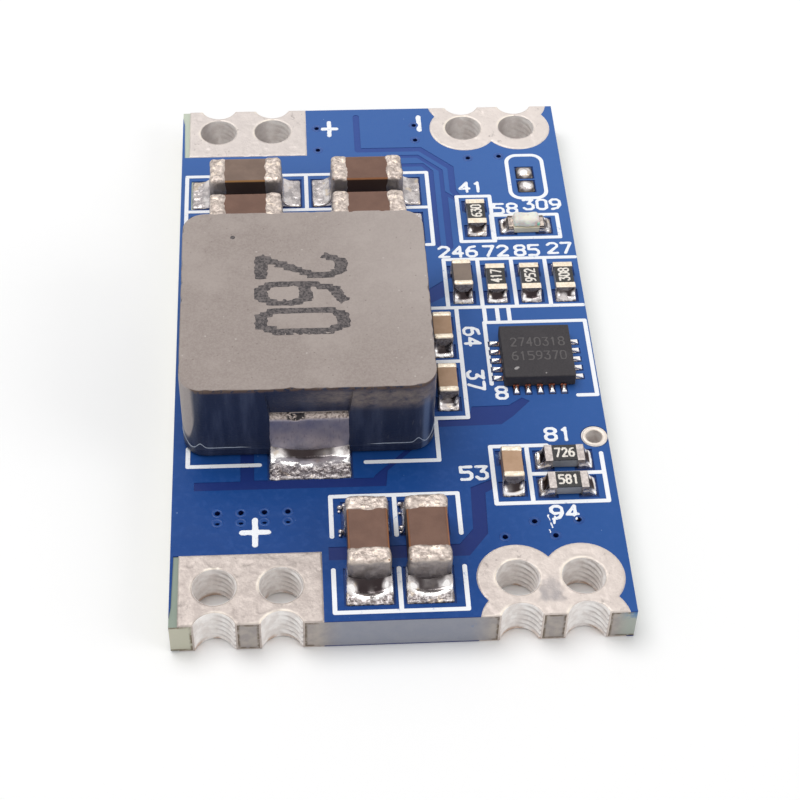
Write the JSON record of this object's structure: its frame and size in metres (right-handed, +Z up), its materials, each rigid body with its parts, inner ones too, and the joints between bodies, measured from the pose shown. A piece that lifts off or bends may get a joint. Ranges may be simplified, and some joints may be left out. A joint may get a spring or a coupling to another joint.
{
  "type": "buck converter module",
  "caption": "Blue power supply board with plated terminal holes and edge notches, a square moulded inductor, chip capacitors and resistors, a leadless controller and an indicator lamp.",
  "frame": {"origin": "centre of the board's outline, on its underside", "axes": "+X from the plus terminals to the minus terminals, +Y along the board from the front edge to the back edge, +Z up out of the populated face"},
  "size_m": [0.0176, 0.03, 0.0056],
  "materials": {
    "laminate": "pale green-grey glass-fibre laminate, satin, with faint layers on the cut edge",
    "solder_mask": "semi-gloss blue lacquer, darker where no copper lies under it",
    "white_print": "matt white screen-printed ink",
    "tinned_plating": "levelled tin, softly uneven, with bright rims at the holes",
    "bare_copper": "dull copper",
    "moulded_core": "pressed iron-powder moulding, grey matt on top and dark and slightly glossy at the sides",
    "strap_metal": "tinned copper strap",
    "brown_ceramic": "brown sintered ceramic",
    "tinned_ends": "rough tin plating",
    "grey_ceramic": "grey-brown sintered ceramic",
    "tan_ceramic": "tan sintered ceramic",
    "white_ceramic": "off-white alumina",
    "black_coat": "glossy black overcoat",
    "lamp_base": "off-white plastic",
    "lamp_lens": "milky clear epoxy",
    "package_moulding": "fine-grained black moulding compound",
    "solder": "bright solder"
  },
  "bodies": {
    "root": {"board_laminate": "laminate", "solder_mask_top": "solder_mask", "solder_mask_bottom": "solder_mask", "printed_lines": "white_print", "plus_terminal_front": "tinned_plating", "minus_terminal_front": "tinned_plating", "plus_terminal_back": "tinned_plating", "minus_terminal_back": "tinned_plating", "test_hole_ring": "tinned_plating", "via_barrels": "bare_copper", "inductor_body": "moulded_core", "inductor_strap_front": "strap_metal", "inductor_strap_back": "strap_metal", "back_capacitor_1_body": "brown_ceramic", "back_capacitor_1_ends": "tinned_ends", "back_capacitor_2_body": "brown_ceramic", "back_capacitor_2_ends": "tinned_ends", "back_capacitor_3_body": "brown_ceramic", "back_capacitor_3_ends": "tinned_ends", "back_capacitor_4_body": "brown_ceramic", "back_capacitor_4_ends": "tinned_ends", "front_capacitor_1_body": "brown_ceramic", "front_capacitor_1_ends": "tinned_ends", "front_capacitor_2_body": "brown_ceramic", "front_capacitor_2_ends": "tinned_ends", "small_capacitor_1_body": "grey_ceramic", "small_capacitor_1_ends": "tinned_ends", "small_capacitor_2_body": "tan_ceramic", "small_capacitor_2_ends": "tinned_ends", "small_capacitor_3_body": "tan_ceramic", "small_capacitor_3_ends": "tinned_ends", "small_capacitor_4_body": "tan_ceramic", "small_capacitor_4_ends": "tinned_ends", "resistor_1_body": "white_ceramic", "resistor_1_ends": "tinned_ends", "resistor_2_body": "white_ceramic", "resistor_2_ends": "tinned_ends", "resistor_3_body": "white_ceramic", "resistor_3_ends": "tinned_ends", "resistor_4_body": "white_ceramic", "resistor_4_ends": "tinned_ends", "resistor_5_body": "white_ceramic", "resistor_5_ends": "tinned_ends", "resistor_6_body": "white_ceramic", "resistor_6_ends": "tinned_ends", "resistor_overcoats": "black_coat", "indicator_base": "lamp_base", "indicator_ends": "tinned_ends", "indicator_lens": "lamp_lens", "controller_package": "package_moulding", "controller_contacts": "bare_copper", "jumper_pads": "solder", "solder_inductor": "solder", "solder_power_capacitors": "solder", "solder_small_chips": "solder", "solder_indicator": "solder", "solder_controller": "solder"}
  },
  "joints": []
}
